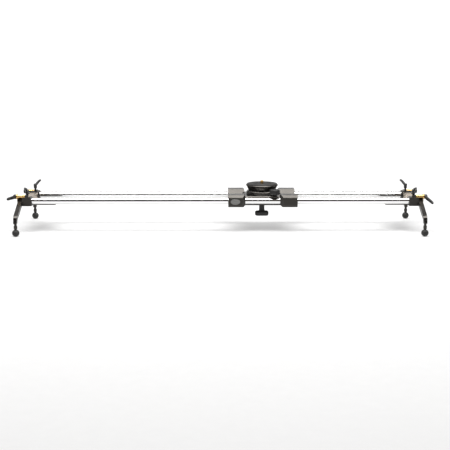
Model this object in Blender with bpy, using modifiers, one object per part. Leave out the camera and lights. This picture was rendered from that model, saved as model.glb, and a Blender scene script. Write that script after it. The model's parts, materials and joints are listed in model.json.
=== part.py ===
"""A camera slider: a carriage with a levelling half ball on two round rails, on four folding legs.

Every size is in millimetres and becomes metres where a mesh is made. The origin is on the floor
under the middle of the rails, +X runs along the rails, +Y to the rear and +Z up. Heights named
ABOVE or BELOW are counted from the rail axis.
"""

from math import asin, atan2, cos, pi, radians, sin, sqrt, tan

import bmesh
import bpy
from mathutils import Matrix, Vector

MM = 0.001
GAP = 0.3  # between two pieces that touch

# Rails: 3/4 inch rods, 48 inches long, 5 inches apart
RAIL_RADIUS = 9.525
RAIL_LENGTH = 1219.2
RAIL_SPACING = 127.0
RAIL_HEIGHT = 95.0
TAP_RADIUS = 4.0
TAP_DEPTH = 22.0

# End blocks, cross bars and tripod plates
BLOCK_X = 597.8
BLOCK_HALF_LENGTH = 14.5
BLOCK_HALF_WIDTH = 14.0
BLOCK_BELOW = 14.0
BLOCK_ABOVE = 13.0
LUG_HALF_LENGTH = 5.0
BLOCK_SHOULDER = 9.8
SHELF_WIDTH = 12.0
SHELF_ABOVE = 1.7
BAR_LENGTH = 22.0
BAR_ABOVE = 10.0
BAR_BELOW = 11.3
PLATE_THICKNESS = 4.0
PLATE_INNER_X = 515.0
PLATE_OUTER_X = 612.0
PLATE_HALF_WIDTH = 46.0
PLATE_NECK_X = 583.5
PLATE_NECK_HALF_WIDTH = 33.5
THREE_EIGHTHS_X = 545.0
QUARTER_X = 570.0

# Legs
HUB_INNER_X = 612.5
HUB_OUTER_X = 625.5
HUB_RADIUS = 11.4
PIVOT_RADIUS = 4.5
LEG_REACH = 86.0
LEG_BEND_BELOW = 42.0
LEG_END_BELOW = 55.0
LEG_HALF_WIDTH = 6.5
LEG_END_HALF_WIDTH = 6.2
LEG_FOOT_THICKNESS = 10.6
BEND_RADIUS = 18.0
STUD_RADIUS = 4.0
BALL_RADIUS = 11.0

# Leg clamps: offset outboard of the rail and height above it
FRONT_CLAMP = (8.5, 15.0)
REAR_CLAMP = (14.5, 9.3)
CLAMP_RADIUS = 5.5
HANDLE_REACH = 52.0

# Rail clamps
RAIL_STUD_RADIUS = 3.0
RAIL_HANDLE_BASE = 21.0
RAIL_HANDLE_REACH = 36.0

# Carriage
CARRIAGE_X = 131.0
EAR_END = 107.0
EAR_START = 54.0
EAR_HALF_WIDTH = 86.5
EAR_BELOW = 17.0
EAR_ABOVE = 20.4
DECK_HALF_LENGTH = 60.0
DECK_HALF_WIDTH = 52.5
DECK_ABOVE = 12.5
DECK_BELOW = 15.7
DECK_PLATE_BELOW = 6.0
DECK_WALL = 4.5
EAR_SLANT_START = 77.5
EAR_NECK_BELOW = 10.5
EAR_NECK_ABOVE = 16.5
BUSHING_RADIUS = 14.0
BOSS_BELOW = 10.6
BOSS_ABOVE = 17.0
BOSS_HALF_LENGTH = 7.0

# Levelling bowl and half ball, about the centre of their sphere
SPHERE_ABOVE = 53.0
BALL_SPHERE = 50.0
BOWL_INSIDE = 50.3
BOWL_OUTSIDE = 56.0
WASHER_INSIDE = 56.3
WASHER_OUTSIDE = 61.0
WASHER_SLOT = 7.8  # half the travel of the stud in the washer's slot
FLANGE_RADIUS = 49.0
FLANGE_ABOVE = 25.0
DECK_HOLE = 41.5
TIE_RADIUS = 4.0
CAMERA_SCREW_RADIUS = 4.76
BALL_BORE = 5.1

# Brake knob, from the middle of the carriage
KNOB_X = 37.0
KNOB_RADIUS = 16.5

ROUND = 36  # sides of a large round piece
SMALL = 14  # sides of a small one

PLANES = {
    "XY": Matrix.Identity(3),
    "YZ": Matrix(((0, 0, 1), (1, 0, 0), (0, 1, 0))),
    "XZ": Matrix(((1, 0, 0), (0, 0, -1), (0, 1, 0))),
}
CORNERS = [(end, side) for end in (-1, 1) for side in (-1, 1)]


# ------------------------------------------------------------------ scene and materials


def clear_scene():
    for obj in list(bpy.data.objects):
        bpy.data.objects.remove(obj, do_unlink=True)


def new_collection(name):
    collection = bpy.data.collections.new(name)
    bpy.context.scene.collection.children.link(collection)
    return collection


def new_material(name, colour, roughness, metallic):
    material = bpy.data.materials.new(name)
    material.use_nodes = True
    shader = material.node_tree.nodes["Principled BSDF"]
    shader.inputs["Base Color"].default_value = (*colour, 1.0)
    shader.inputs["Roughness"].default_value = roughness
    shader.inputs["Metallic"].default_value = metallic
    material.diffuse_color = (*colour, 1.0)
    return material


clear_scene()
PARTS = new_collection("camera_slider")
CUTTERS = new_collection("cutters")

CHROME = new_material("chrome_steel", (0.80, 0.80, 0.80), 0.10, 1.0)
ANODISED = new_material("black_anodised", (0.025, 0.025, 0.024), 0.38, 0.6)
ALUMINIUM = new_material("clear_anodised", (0.62, 0.58, 0.53), 0.35, 1.0)
STEEL = new_material("zinc_steel", (0.48, 0.48, 0.46), 0.35, 1.0)
OXIDE = new_material("black_oxide_steel", (0.05, 0.05, 0.048), 0.35, 1.0)
BRASS = new_material("brass", (0.78, 0.55, 0.22), 0.25, 1.0)
LEVER = new_material("black_lever_coat", (0.02, 0.02, 0.02), 0.45, 0.2)
RUBBER = new_material("black_rubber", (0.035, 0.034, 0.032), 0.8, 0.0)
PLASTIC = new_material("black_plastic", (0.02, 0.02, 0.02), 0.5, 0.0)
BUSHING_STEEL = new_material("bushing_steel", (0.5, 0.5, 0.52), 0.3, 1.0)
BADGE_METAL = new_material("badge_metal", (0.30, 0.30, 0.29), 0.35, 0.9)


# ------------------------------------------------------------------ modelling helpers


def corner_name(piece, end, side):
    """Name of a piece at one corner: end -1 is left, side -1 is front."""
    return f"{piece}_{'front' if side < 0 else 'rear'}_{'left' if end < 0 else 'right'}"


def place(obj, origin, rotation=None):
    turn = (rotation or Matrix.Identity(3)).to_4x4()
    x, y, above = origin
    obj.matrix_world = Matrix.Translation(Vector((x, y, RAIL_HEIGHT + above)) * MM) @ turn
    return obj


def along(direction):
    """Rotation that turns +Z to a direction."""
    return Vector(direction).to_track_quat("Z", "Y").to_matrix()


def new_part(name, mesh, material):
    obj = bpy.data.objects.new(name, mesh)
    PARTS.objects.link(obj)
    if material is not None:
        mesh.materials.clear()
        mesh.materials.append(material)
    mesh.shade_smooth()
    mesh.set_sharp_from_angle(angle=radians(32))
    return obj


def evaluated_mesh(obj):
    """The mesh of an object with its modifiers, or of a curve with its caps welded."""
    bpy.context.view_layer.update()
    graph = bpy.context.evaluated_depsgraph_get()
    mesh = bpy.data.meshes.new_from_object(obj.evaluated_get(graph))
    welded = bmesh.new()
    welded.from_mesh(mesh)
    bmesh.ops.remove_doubles(welded, verts=welded.verts, dist=1e-6)
    bmesh.ops.recalc_face_normals(welded, faces=welded.faces)
    welded.to_mesh(mesh)
    welded.free()
    return mesh


def turned(name, profile, origin, direction, material=None, steps=SMALL, ring=False):
    """A profile of (radius, height) points turned about a direction. It runs down its outer side."""
    mesh = bpy.data.meshes.new(name)
    points = [(radius * MM, 0, height * MM) for radius, height in profile]
    edges = [(i, i + 1) for i in range(len(points) - 1)]
    if ring:
        edges.append((len(points) - 1, 0))
    mesh.from_pydata(points, edges, [])
    obj = new_part(name, mesh, material)
    screw = obj.modifiers.new("turn", "SCREW")
    screw.steps = steps
    screw.render_steps = steps
    screw.use_merge_vertices = True
    screw.merge_threshold = 1e-5
    return place(obj, origin, along(direction))


def outline_curve(name, outlines, thickness):
    curve = bpy.data.curves.new(name, "CURVE")
    curve.dimensions = "2D"
    curve.fill_mode = "BOTH"
    curve.extrude = thickness / 2 * MM
    for outline in outlines:
        spline = curve.splines.new("POLY")
        spline.points.add(len(outline) - 1)
        for point, (u, v) in zip(spline.points, outline):
            point.co = (u * MM, v * MM, 0, 1)
        spline.use_cyclic_u = True
    return bpy.data.objects.new(name, curve)


def prism(name, outlines, thickness, plane, origin, material=None, bevel=0.0):
    """Flat outlines, the first one solid and those inside it holes, as thick as given."""
    guide = outline_curve(name + "_outline", outlines, thickness)
    CUTTERS.objects.link(guide)
    mesh = evaluated_mesh(guide)
    bpy.data.objects.remove(guide)
    obj = new_part(name, mesh, material)
    if bevel:
        edge_bevel(obj, bevel)
    return place(obj, origin, PLANES[plane])


def box(name, size, origin, material=None):
    shape = bmesh.new()
    bmesh.ops.create_cube(shape, size=1.0)
    bmesh.ops.scale(shape, vec=Vector(size) * MM, verts=shape.verts)
    mesh = bpy.data.meshes.new(name)
    shape.to_mesh(mesh)
    shape.free()
    obj = new_part(name, mesh, material)
    return place(obj, origin)


def edge_bevel(obj, width, angle=50, segments=1):
    bevel = obj.modifiers.new("bevel", "BEVEL")
    bevel.width = width * MM
    bevel.segments = segments
    bevel.limit_method = "ANGLE"
    bevel.angle_limit = radians(angle)


def rod(name, radius, low, high, origin, direction, steps=SMALL):
    """A plain cylinder from one height to another along a direction, for cuts."""
    profile = [(0, high), (radius, high), (radius, low), (0, low)]
    return turned(name, profile, origin, direction, None, steps)


def combine(obj, other, operation):
    """Adds a Boolean with another shape, which becomes a hidden helper."""
    PARTS.objects.unlink(other)
    CUTTERS.objects.link(other)
    other.hide_render = True
    other.display_type = "WIRE"
    boolean = obj.modifiers.new(operation.lower(), "BOOLEAN")
    boolean.operation = operation
    boolean.solver = "EXACT"
    boolean.object = other


def cut(obj, *cutters):
    for cutter in cutters:
        combine(obj, cutter, "DIFFERENCE")


def join(obj, *others):
    for other in others:
        combine(obj, other, "UNION")


def hex_socket(name, across, depth, origin, direction):
    """A hexagon cutter whose mouth is at the origin and which goes in against the direction."""
    shape = bmesh.new()
    reach = across / sqrt(3)
    bmesh.ops.create_cone(
        shape, cap_ends=True, segments=6, radius1=reach * MM, radius2=reach * MM, depth=2 * depth * MM
    )
    mesh = bpy.data.meshes.new(name)
    shape.to_mesh(mesh)
    shape.free()
    return place(new_part(name, mesh, None), origin, along(direction))


def tube(name, path, radii, sides=2):
    """A round bar along a path, with a radius at each point, as a closed mesh."""
    curve = bpy.data.curves.new(name, "CURVE")
    curve.dimensions = "3D"
    curve.bevel_depth = MM
    curve.bevel_resolution = sides
    curve.use_fill_caps = True
    spline = curve.splines.new("POLY")
    spline.points.add(len(path) - 1)
    for point, (x, y, above), radius in zip(spline.points, path, radii):
        point.co = (x * MM, y * MM, (RAIL_HEIGHT + above) * MM, 1)
        point.radius = radius
    guide = bpy.data.objects.new(name + "_path", curve)
    CUTTERS.objects.link(guide)
    mesh = evaluated_mesh(guide)
    bpy.data.objects.remove(guide)
    return new_part(name, mesh, None)


def arc(centre, radius, start, stop, steps):
    """Points on an arc, with angles in degrees."""
    angles = [radians(start + (stop - start) * i / steps) for i in range(steps + 1)]
    return [(centre[0] + radius * cos(a), centre[1] + radius * sin(a)) for a in angles]


def circle(centre, radius, steps=SMALL):
    return arc(centre, radius, 0, 360, steps)[:-1]


def mirrored(outline, sign):
    return [(sign * u, v) for u, v in outline]


def pivot(name, origin, *pieces, parent=None):
    """An empty on a joint's axis, with the pieces that move about it as its children."""
    x, y, above = origin
    empty = bpy.data.objects.new(name, None)
    empty.empty_display_size = 0.02
    PARTS.objects.link(empty)
    empty.matrix_world = Matrix.Translation(Vector((x, y, RAIL_HEIGHT + above)) * MM)
    if parent is not None:
        empty.parent = parent
        empty.matrix_parent_inverse = Matrix.Translation(-parent.matrix_world.translation)
        empty.matrix_basis = Matrix.Translation(Vector((x, y, RAIL_HEIGHT + above)) * MM)
    bpy.context.view_layer.update()
    for piece in pieces:
        piece.parent = empty
        piece.matrix_parent_inverse = empty.matrix_world.inverted()
    return empty


# ------------------------------------------------------------------ rails and ends


def rail(name, y):
    half, chamfer = RAIL_LENGTH / 2, 1.0
    end = [
        (0, half - TAP_DEPTH),
        (TAP_RADIUS, half - TAP_DEPTH),
        (TAP_RADIUS, half),
        (RAIL_RADIUS - chamfer, half),
        (RAIL_RADIUS, half - chamfer),
    ]
    profile = end + [(radius, -height) for radius, height in reversed(end)]
    return turned(name, profile, (0, y, 0), (1, 0, 0), CHROME, ROUND)


def clamp_axis(side):
    """Y and height of a leg clamp screw."""
    offset, above = FRONT_CLAMP if side < 0 else REAR_CLAMP
    return side * (RAIL_SPACING / 2 + offset), above


def end_block(end, side):
    name = corner_name("end_block", end, side)
    x, y = end * BLOCK_X, side * RAIL_SPACING / 2
    half, lug_half = BLOCK_HALF_LENGTH, LUG_HALF_LENGTH
    top = half - (BLOCK_ABOVE - BLOCK_SHOULDER)
    outline = [
        (-half, -BLOCK_BELOW),
        (half, -BLOCK_BELOW),
        (half, BLOCK_SHOULDER),
        (top, BLOCK_ABOVE),
        (-top, BLOCK_ABOVE),
        (-half, BLOCK_SHOULDER),
    ]
    block = prism(name, [outline], 2 * BLOCK_HALF_WIDTH, "XZ", (x, y, 0), ANODISED)
    inner = y - side * BLOCK_HALF_WIDTH
    shelf_height = BLOCK_BELOW - 0.8 + SHELF_ABOVE
    shelf = box(
        name + "_shelf",
        (2 * half - 2, SHELF_WIDTH + 2, shelf_height),
        (x, inner - side * (SHELF_WIDTH / 2 - 1), SHELF_ABOVE - shelf_height / 2),
    )
    clamp_y, clamp_above = clamp_axis(side)
    lug = box(name + "_lug", (2 * lug_half, 9.6, 9.6), (x, clamp_y, clamp_above))
    join(block, shelf, lug)
    saddle_x = x + end * (lug_half + GAP)
    cut(
        block,
        rod(name + "_bore", RAIL_RADIUS + GAP, -30, 30, (x, y, 0), (1, 0, 0), ROUND),
        rod(name + "_stud_hole", RAIL_STUD_RADIUS + GAP, 4, 30, (x, y, 0), (0, 0, 1)),
        rod(name + "_screw_hole", 3.2, -20, 20, (x, clamp_y, clamp_above), (1, 0, 0)),
        rod(name + "_saddle", CLAMP_RADIUS + GAP, 0, 20, (saddle_x, clamp_y, clamp_above), (end, 0, 0)),
    )
    return block


def cross_bar(end):
    name = f"cross_bar_{'left' if end < 0 else 'right'}"
    inner = RAIL_SPACING / 2 - BLOCK_HALF_WIDTH - GAP
    neck = inner - SHELF_WIDTH - GAP
    tongue = SHELF_ABOVE + GAP
    outline = [
        (-inner, tongue),
        (-neck, tongue),
        (-neck, -BAR_BELOW),
        (neck, -BAR_BELOW),
        (neck, tongue),
        (inner, tongue),
        (inner, BAR_ABOVE),
        (-inner, BAR_ABOVE),
    ]
    return prism(name, [outline], BAR_LENGTH, "YZ", (end * BLOCK_X, 0, 0), ALUMINIUM)


def tripod_plate(end):
    name = f"tripod_plate_{'left' if end < 0 else 'right'}"
    middle = (PLATE_INNER_X + PLATE_OUTER_X) / 2
    half = (PLATE_OUTER_X - PLATE_INNER_X) / 2
    wide, neck, shoulder = PLATE_HALF_WIDTH, PLATE_NECK_HALF_WIDTH, PLATE_NECK_X - middle
    radius = 6.0
    outline = [
        *arc((radius - half, radius - wide), radius, 180, 270, 4),
        (shoulder, -wide),
        (shoulder, -neck),
        (half, -neck),
        (half, neck),
        (shoulder, neck),
        (shoulder, wide),
        *arc((radius - half, wide - radius), radius, 90, 180, 4),
    ]
    holes = [circle((THREE_EIGHTHS_X - middle, 0), 4.9), circle((QUARTER_X - middle, 0), 3.3)]
    outlines = [mirrored(shape, end) for shape in [outline, *holes]]
    top = -BAR_BELOW - GAP
    centre = (end * middle, 0, top - PLATE_THICKNESS / 2)
    return prism(name, outlines, PLATE_THICKNESS, "XY", centre, ANODISED)


def pivot_bolt(end, side):
    """The shoulder bolt in a rail end that a leg swings on."""
    name = corner_name("leg_pivot_bolt", end, side)
    start = 590.0
    head = HUB_OUTER_X + GAP - start
    shoulder = RAIL_LENGTH / 2 + GAP - start
    profile = [
        (0, head + 3.2),
        (6.3, head + 3.2),
        (7.3, head + 2.2),
        (7.3, head),
        (PIVOT_RADIUS, head),
        (PIVOT_RADIUS, shoulder),
        (TAP_RADIUS - GAP, shoulder),
        (TAP_RADIUS - GAP, 0.6),
        (TAP_RADIUS - GAP - 0.6, 0),
        (0, 0),
    ]
    y, out = side * RAIL_SPACING / 2, (end, 0, 0)
    bolt = turned(name, profile, (end * start, y, 0), out, STEEL, 16)
    mouth = (end * (start + head + 3.2), y, 0)
    cut(bolt, hex_socket(name + "_socket", 6.0, 2.4, mouth, out))
    return bolt


# ------------------------------------------------------------------ legs and feet


def leg_path(steps=4):
    """Middle line of a leg in (outboard, height), with the bend as an arc."""
    bend = Vector((LEG_REACH, -LEG_BEND_BELOW))
    slope = atan2(-LEG_BEND_BELOW, LEG_REACH)
    turn = slope + pi / 2
    tangent = BEND_RADIUS * tan(turn / 2)
    start = bend - Vector((cos(slope), sin(slope))) * tangent
    centre = (LEG_REACH - BEND_RADIUS, -LEG_BEND_BELOW - tangent)
    first = 90 + slope * 180 / pi
    curve = arc(centre, BEND_RADIUS, first, 0, steps)
    return [(0.0, 0.0), (start.x * 0.5, start.y * 0.5), *curve, (LEG_REACH, -LEG_END_BELOW)]


def bar_sides(path, start_half, end_half):
    """The two sides of a bar along a path, whose half width changes evenly along it."""
    left, right = [], []
    count = len(path) - 1
    for i, here in enumerate(path):
        before = Vector(path[max(i - 1, 0)])
        after = Vector(path[min(i + 1, count)])
        heading = (after - before).normalized()
        half = start_half + (end_half - start_half) * i / count
        normal = Vector((-heading.y, heading.x)) * half
        left.append(tuple(Vector(here) + normal))
        right.append(tuple(Vector(here) - normal))
    return left, right


def leg_outline():
    path = leg_path()
    left, right = bar_sides(path, LEG_HALF_WIDTH, LEG_END_HALF_WIDTH)
    slope = atan2(path[1][1], path[1][0]) * 180 / pi
    spread = asin(LEG_HALF_WIDTH / HUB_RADIUS) * 180 / pi
    hub = arc((0, 0), HUB_RADIUS, slope + spread, slope + 360 - spread, 14)
    return hub + right[1:] + left[:0:-1]


def leg_arm(end, side):
    name = corner_name("leg_arm", end, side)
    x, y = end * (HUB_INNER_X + HUB_OUTER_X) / 2, side * RAIL_SPACING / 2
    thickness = HUB_OUTER_X - HUB_INNER_X
    outlines = [mirrored(leg_outline(), side), circle((0, 0), PIVOT_RADIUS + GAP, 16)]
    arm = prism(name, outlines, thickness, "YZ", (x, y, 0), ANODISED)
    wide, slim = thickness / 2, LEG_FOOT_THICKNESS / 2
    taper = [(-wide, 20), (-wide, -32), (-slim, -46), (-slim, -70), (slim, -70), (slim, -46), (wide, -32), (wide, 20)]
    combine(arm, prism(name + "_taper", [taper], 260, "XZ", (x, y, 0)), "INTERSECT")
    foot = (x, y + side * LEG_REACH, 0)
    cut(arm, rod(name + "_hole", STUD_RADIUS + GAP, -70, -38, foot, (0, 0, 1)))
    path = [Vector(p) for p in leg_path()]
    inner = [path[1] * 0.55, path[1], *path[2:-3]]
    left, right = bar_sides([tuple(p) for p in inner], 3.2, 2.8)
    pocket = prism(
        name + "_pocket", [mirrored(left + right[::-1], side)], 4, "YZ", (x + end * thickness / 2, y, 0)
    )
    cut(arm, pocket)
    return arm


def foot(end, side):
    """Stud, lock collar and ball of one foot."""
    x = end * (HUB_INNER_X + HUB_OUTER_X) / 2
    y = side * (RAIL_SPACING / 2 + LEG_REACH)
    centre = BALL_RADIUS - RAIL_HEIGHT
    up = (0, 0, 1)
    socket_floor = centre + 3.5
    stud_profile = [
        (0, -44),
        (STUD_RADIUS - 0.6, -44),
        (STUD_RADIUS, -44.6),
        (STUD_RADIUS, socket_floor + GAP),
        (0, socket_floor + GAP),
    ]
    stud = turned(corner_name("foot_stud", end, side), stud_profile, (x, y, 0), up, OXIDE)
    bore = STUD_RADIUS + GAP
    nut_profile = [(bore, -62), (4.9, -62), (5.4, -63), (5.4, -70.5), (4.9, -71.5), (bore, -71.5)]
    nut = turned(
        corner_name("foot_lock_collar", end, side), nut_profile, (x, y, 0), up, ANODISED, SMALL, ring=True
    )
    mouth = asin(bore / BALL_RADIUS) * 180 / pi
    steps = 7
    sphere = [
        (BALL_RADIUS * cos(radians(a)), centre + BALL_RADIUS * sin(radians(a)))
        for a in [90 - mouth - (180 - mouth) * i / steps for i in range(steps)]
    ]
    ball_profile = [(0, socket_floor), (bore, socket_floor), *sphere, (0, centre - BALL_RADIUS)]
    ball = turned(corner_name("foot_ball", end, side), ball_profile, (x, y, 0), up, RUBBER, 18)
    return stud, nut, ball


# ------------------------------------------------------------------ clamps with handles


def leg_lock(end, side):
    """The brass screw that pinches a leg hub, and its handle."""
    y, above = clamp_axis(side)
    start = BLOCK_X - LUG_HALF_LENGTH + GAP
    sleeve = BLOCK_X + LUG_HALF_LENGTH + 2 * GAP - start
    shoulder = HUB_OUTER_X + GAP - start
    profile = [
        (0, shoulder + 3.2),
        (7.2, shoulder + 3.2),
        (8.0, shoulder + 2.4),
        (8.0, shoulder),
        (CLAMP_RADIUS, shoulder),
        (CLAMP_RADIUS, sleeve + 0.6),
        (CLAMP_RADIUS - 0.6, sleeve),
        (2.9, sleeve),
        (2.9, 0.5),
        (2.4, 0),
        (0, 0),
    ]
    name = corner_name("leg_clamp_screw", end, side)
    screw = turned(name, profile, (end * start, y, above), (end, 0, 0), BRASS, 18)
    hub_start = HUB_OUTER_X + 3.2 + 2 * GAP
    hub_profile = [(0, 9.4), (5.6, 9.4), (7.0, 8.0), (7.0, 1.0), (6.4, 0), (0, 0)]
    name = corner_name("leg_clamp_handle", end, side)
    handle = turned(name, hub_profile, (end * hub_start, y, above), (end, 0, 0), LEVER, 18)
    droop = radians({(-1, -1): 0, (1, -1): -15, (-1, 1): 1, (1, 1): 1}[(end, side)])
    steps = [
        (2, 5.0, 4.4),
        (12, 6.0, 4.6),
        (24, 9.4, 4.4),
        (38, 13.8, 4.1),
        (49, 16.2, 3.8),
        (52, 16.6, 2.6),
    ]
    path = [
        (
            end * (hub_start + out),
            y + side * reach * HANDLE_REACH / 52 * cos(droop),
            above + reach * HANDLE_REACH / 52 * sin(droop),
        )
        for reach, out, _ in steps
    ]
    join(handle, tube(name + "_arm", path, [radius for _, _, radius in steps]))
    return screw, handle


def rail_clamp(end, side):
    """The upright stud that clamps a rail, and its handle."""
    x, y = end * BLOCK_X, side * RAIL_SPACING / 2
    up = (0, 0, 1)
    base = RAIL_HANDLE_BASE
    radius = RAIL_STUD_RADIUS
    low = RAIL_RADIUS + GAP
    stud_profile = [(0, 30), (radius - 0.5, 30), (radius, 29.5), (radius, low + 0.5), (radius - 0.5, low), (0, low)]
    name = corner_name("rail_clamp_stud", end, side)
    stud = turned(name, stud_profile, (x, y, 0), up, OXIDE)
    bore = radius + GAP
    hub_profile = [
        (0, base + 15),
        (3.8, base + 15),
        (5.3, base + 13.6),
        (5.3, base + 4),
        (4.3, base),
        (bore, base),
        (bore, 30 + GAP),
        (0, 30 + GAP),
    ]
    name = corner_name("rail_clamp_handle", end, side)
    handle = turned(name, hub_profile, (x, y, 0), up, LEVER, 16)
    heading = Vector((-end * 3, -RAIL_HANDLE_REACH)) if side < 0 else Vector((-end * 11, 34))
    heading.normalize()
    steps = [
        (4.6, 11.6, 2.9),
        (9, 13.4, 3.7),
        (18, 17.6, 3.8),
        (28, 20.9, 3.6),
        (34, 22.1, 3.3),
        (36, 22.3, 2.2),
    ]
    path = [
        (
            x + heading.x * reach * RAIL_HANDLE_REACH / 36,
            y + heading.y * reach * RAIL_HANDLE_REACH / 36,
            base + rise,
        )
        for reach, rise, _ in steps
    ]
    join(handle, tube(name + "_arm", path, [radius for _, _, radius in steps]))
    return stud, handle


# ------------------------------------------------------------------ carriage


def carriage_body():
    ear = EAR_HALF_WIDTH
    end_section = [
        (-ear, -11.0),
        (-ear + 6, -EAR_BELOW),
        (-53.0, -EAR_BELOW),
        (-47.5, -11.0),
        (-47.5, -8.0),
        (-43.5, -5.0),
        (43.5, -5.0),
        (47.5, -8.0),
        (47.5, -11.0),
        (53.0, -EAR_BELOW),
        (ear - 6, -EAR_BELOW),
        (ear, -11.0),
        (ear, EAR_ABOVE - 7),
        (ear - 7, EAR_ABOVE),
        (47.5, EAR_ABOVE),
        (34.4, 7.3),
        (-34.4, 7.3),
        (-47.5, EAR_ABOVE),
        (-ear + 7, EAR_ABOVE),
        (-ear, EAR_ABOVE - 7),
    ]
    centre = (CARRIAGE_X, 0, 0)
    body = prism("carriage_body", [end_section], 2 * EAR_END, "YZ", centre, ANODISED)
    wide, start, stop = 100.0, EAR_START, EAR_END + 5
    spread = wide - EAR_SLANT_START
    plan = [
        (start, -EAR_SLANT_START),
        (start + spread, -wide),
        (stop, -wide),
        (stop, wide),
        (start + spread, wide),
        (start, EAR_SLANT_START),
    ]
    front = [
        (start, -EAR_NECK_BELOW),
        (start + 10, -EAR_NECK_BELOW - 10),
        (stop, -EAR_NECK_BELOW - 10),
        (stop, EAR_NECK_ABOVE + 8),
        (start + 8, EAR_NECK_ABOVE + 8),
        (start, EAR_NECK_ABOVE),
    ]
    for name, outline, plane, depth in (("plan", plan, "XY", 80), ("front", front, "XZ", 240)):
        outlines = [outline, mirrored(outline, -1)]
        combine(body, prism("carriage_" + name, outlines, depth, plane, centre), "INTERSECT")
    wide, low, inner = DECK_HALF_WIDTH, -DECK_BELOW, DECK_HALF_WIDTH - DECK_WALL
    deck_section = [
        (-wide, low),
        (-inner, low),
        (-inner, DECK_PLATE_BELOW),
        (inner, DECK_PLATE_BELOW),
        (inner, low),
        (wide, low),
        (wide, DECK_ABOVE - 3.5),
        (wide - 3.5, DECK_ABOVE),
        (-wide + 3.5, DECK_ABOVE),
        (-wide, DECK_ABOVE - 3.5),
    ]
    join(body, prism("carriage_deck", [deck_section], 2 * DECK_HALF_LENGTH, "YZ", centre))
    back, face = 1.0 - DECK_HALF_WIDTH + DECK_WALL, -RAIL_SPACING / 2 - BOSS_HALF_LENGTH
    boss_section = [
        (face, BOSS_BELOW),
        (back, BOSS_BELOW),
        (back, BOSS_ABOVE),
        (face + 2.5, BOSS_ABOVE),
        (face, BOSS_ABOVE - 2.5),
    ]
    boss_centre = (CARRIAGE_X + KNOB_X, 0, 0)
    join(body, prism("carriage_boss", [boss_section], 2 * BOSS_HALF_LENGTH, "YZ", boss_centre))
    for side in (-1, 1):
        y = side * RAIL_SPACING / 2
        for end in (-1, 1):
            pocket = [
                (0, EAR_END + 10),
                (BUSHING_RADIUS + GAP, EAR_END + 10),
                (BUSHING_RADIUS + GAP, DECK_HALF_LENGTH + 0.6),
                (RAIL_RADIUS + 1.2, DECK_HALF_LENGTH + 0.6),
                (RAIL_RADIUS + 1.2, 40),
                (0, 40),
            ]
            at = (CARRIAGE_X, y, 0)
            cut(body, turned(f"carriage_bore_{end}_{side}", pocket, at, (end, 0, 0), None, ROUND))
    cut(body, rod("carriage_bowl_hole", DECK_HOLE, -20, 40, centre, (0, 0, 1), ROUND))
    knob = (CARRIAGE_X + KNOB_X, -RAIL_SPACING / 2, 0)
    cut(body, rod("carriage_knob_hole", 4.6, 5, 30, knob, (0, 0, 1)))
    return body


def bushing(end, side):
    """The ball bushing in one ear, on its rail."""
    inside, outside = RAIL_RADIUS + 0.35, BUSHING_RADIUS
    half = (EAR_END - DECK_HALF_LENGTH - 2.5) / 2
    profile = [
        (outside, half - 0.8),
        (outside, -half),
        (inside, -half),
        (inside, half - 0.8),
        (inside + 1.2, half),
        (outside - 0.8, half),
    ]
    at = (CARRIAGE_X + end * (EAR_END - 1.2 - half), side * RAIL_SPACING / 2, 0)
    name = corner_name("ball_bushing", end, side)
    return turned(name, profile, at, (end, 0, 0), BUSHING_STEEL, 24, ring=True)


def sphere_points(radius, first, last, steps):
    """Points on the bowl's sphere, by their angle from straight down, in degrees."""
    angles = [radians(first + (last - first) * i / steps) for i in range(steps + 1)]
    return [(radius * sin(a), SPHERE_ABOVE - radius * cos(a)) for a in angles]


def sphere_angle(radius, ring):
    """Angle from straight down of the circle of a given radius on a sphere."""
    return asin(ring / radius) * 180 / pi


def angles_of(radius, *rings):
    return [sphere_angle(radius, ring) for ring in rings]


def bowl():
    rim = atan2(sqrt(BOWL_INSIDE**2 - (SPHERE_ABOVE - FLANGE_ABOVE) ** 2), SPHERE_ABOVE - FLANGE_ABOVE)
    seat = DECK_ABOVE + GAP
    under = atan2(sqrt(BOWL_OUTSIDE**2 - (SPHERE_ABOVE - seat) ** 2), SPHERE_ABOVE - seat)
    opening = 22.0
    profile = [
        (FLANGE_RADIUS - 2.5, FLANGE_ABOVE),
        (FLANGE_RADIUS, FLANGE_ABOVE - 2.5),
        (FLANGE_RADIUS, seat),
        *sphere_points(BOWL_OUTSIDE, under * 180 / pi, sphere_angle(BOWL_OUTSIDE, opening), 4),
        *sphere_points(BOWL_INSIDE, sphere_angle(BOWL_INSIDE, opening), rim * 180 / pi, 5),
    ]
    return turned("bowl", profile, (CARRIAGE_X, 0, 0), (0, 0, 1), ANODISED, ROUND, ring=True)


def half_ball():
    start = sphere_angle(BALL_SPHERE, 19)
    profile = [
        (BALL_BORE, 44.4),
        (50.0, 44.4),
        (51.0, 43.4),
        (51.0, 40.6),
        *reversed(sphere_points(BALL_SPHERE, start, 66.4, 6)),
        (BALL_BORE, SPHERE_ABOVE - BALL_SPHERE * cos(radians(start))),
    ]
    return turned("half_ball", profile, (CARRIAGE_X, 0, 0), (0, 0, 1), ANODISED, ROUND, ring=True)


def head_pieces():
    """Top pad of the half ball, and the stud that goes through it, up to the camera and down to the handle."""
    at, up = (CARRIAGE_X, 0, 0), (0, 0, 1)
    pad_profile = [(47.0, 46.0), (47.5, 45.5), (47.5, 44.7), (BALL_BORE + 1, 44.7), (BALL_BORE + 1, 46.0)]
    pad = turned("top_pad", pad_profile, at, up, RUBBER, ROUND, ring=True)
    screw = CAMERA_SCREW_RADIUS
    profile = [
        (0, 55.5),
        (screw - 1.1, 55.5),
        (screw, 54.4),
        (screw, 28),
        (TIE_RADIUS, 28),
        (TIE_RADIUS, -30),
        (TIE_RADIUS - 0.6, -30.6),
        (0, -30.6),
    ]
    return pad, turned("camera_stud", profile, at, up, BRASS, 24)


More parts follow.
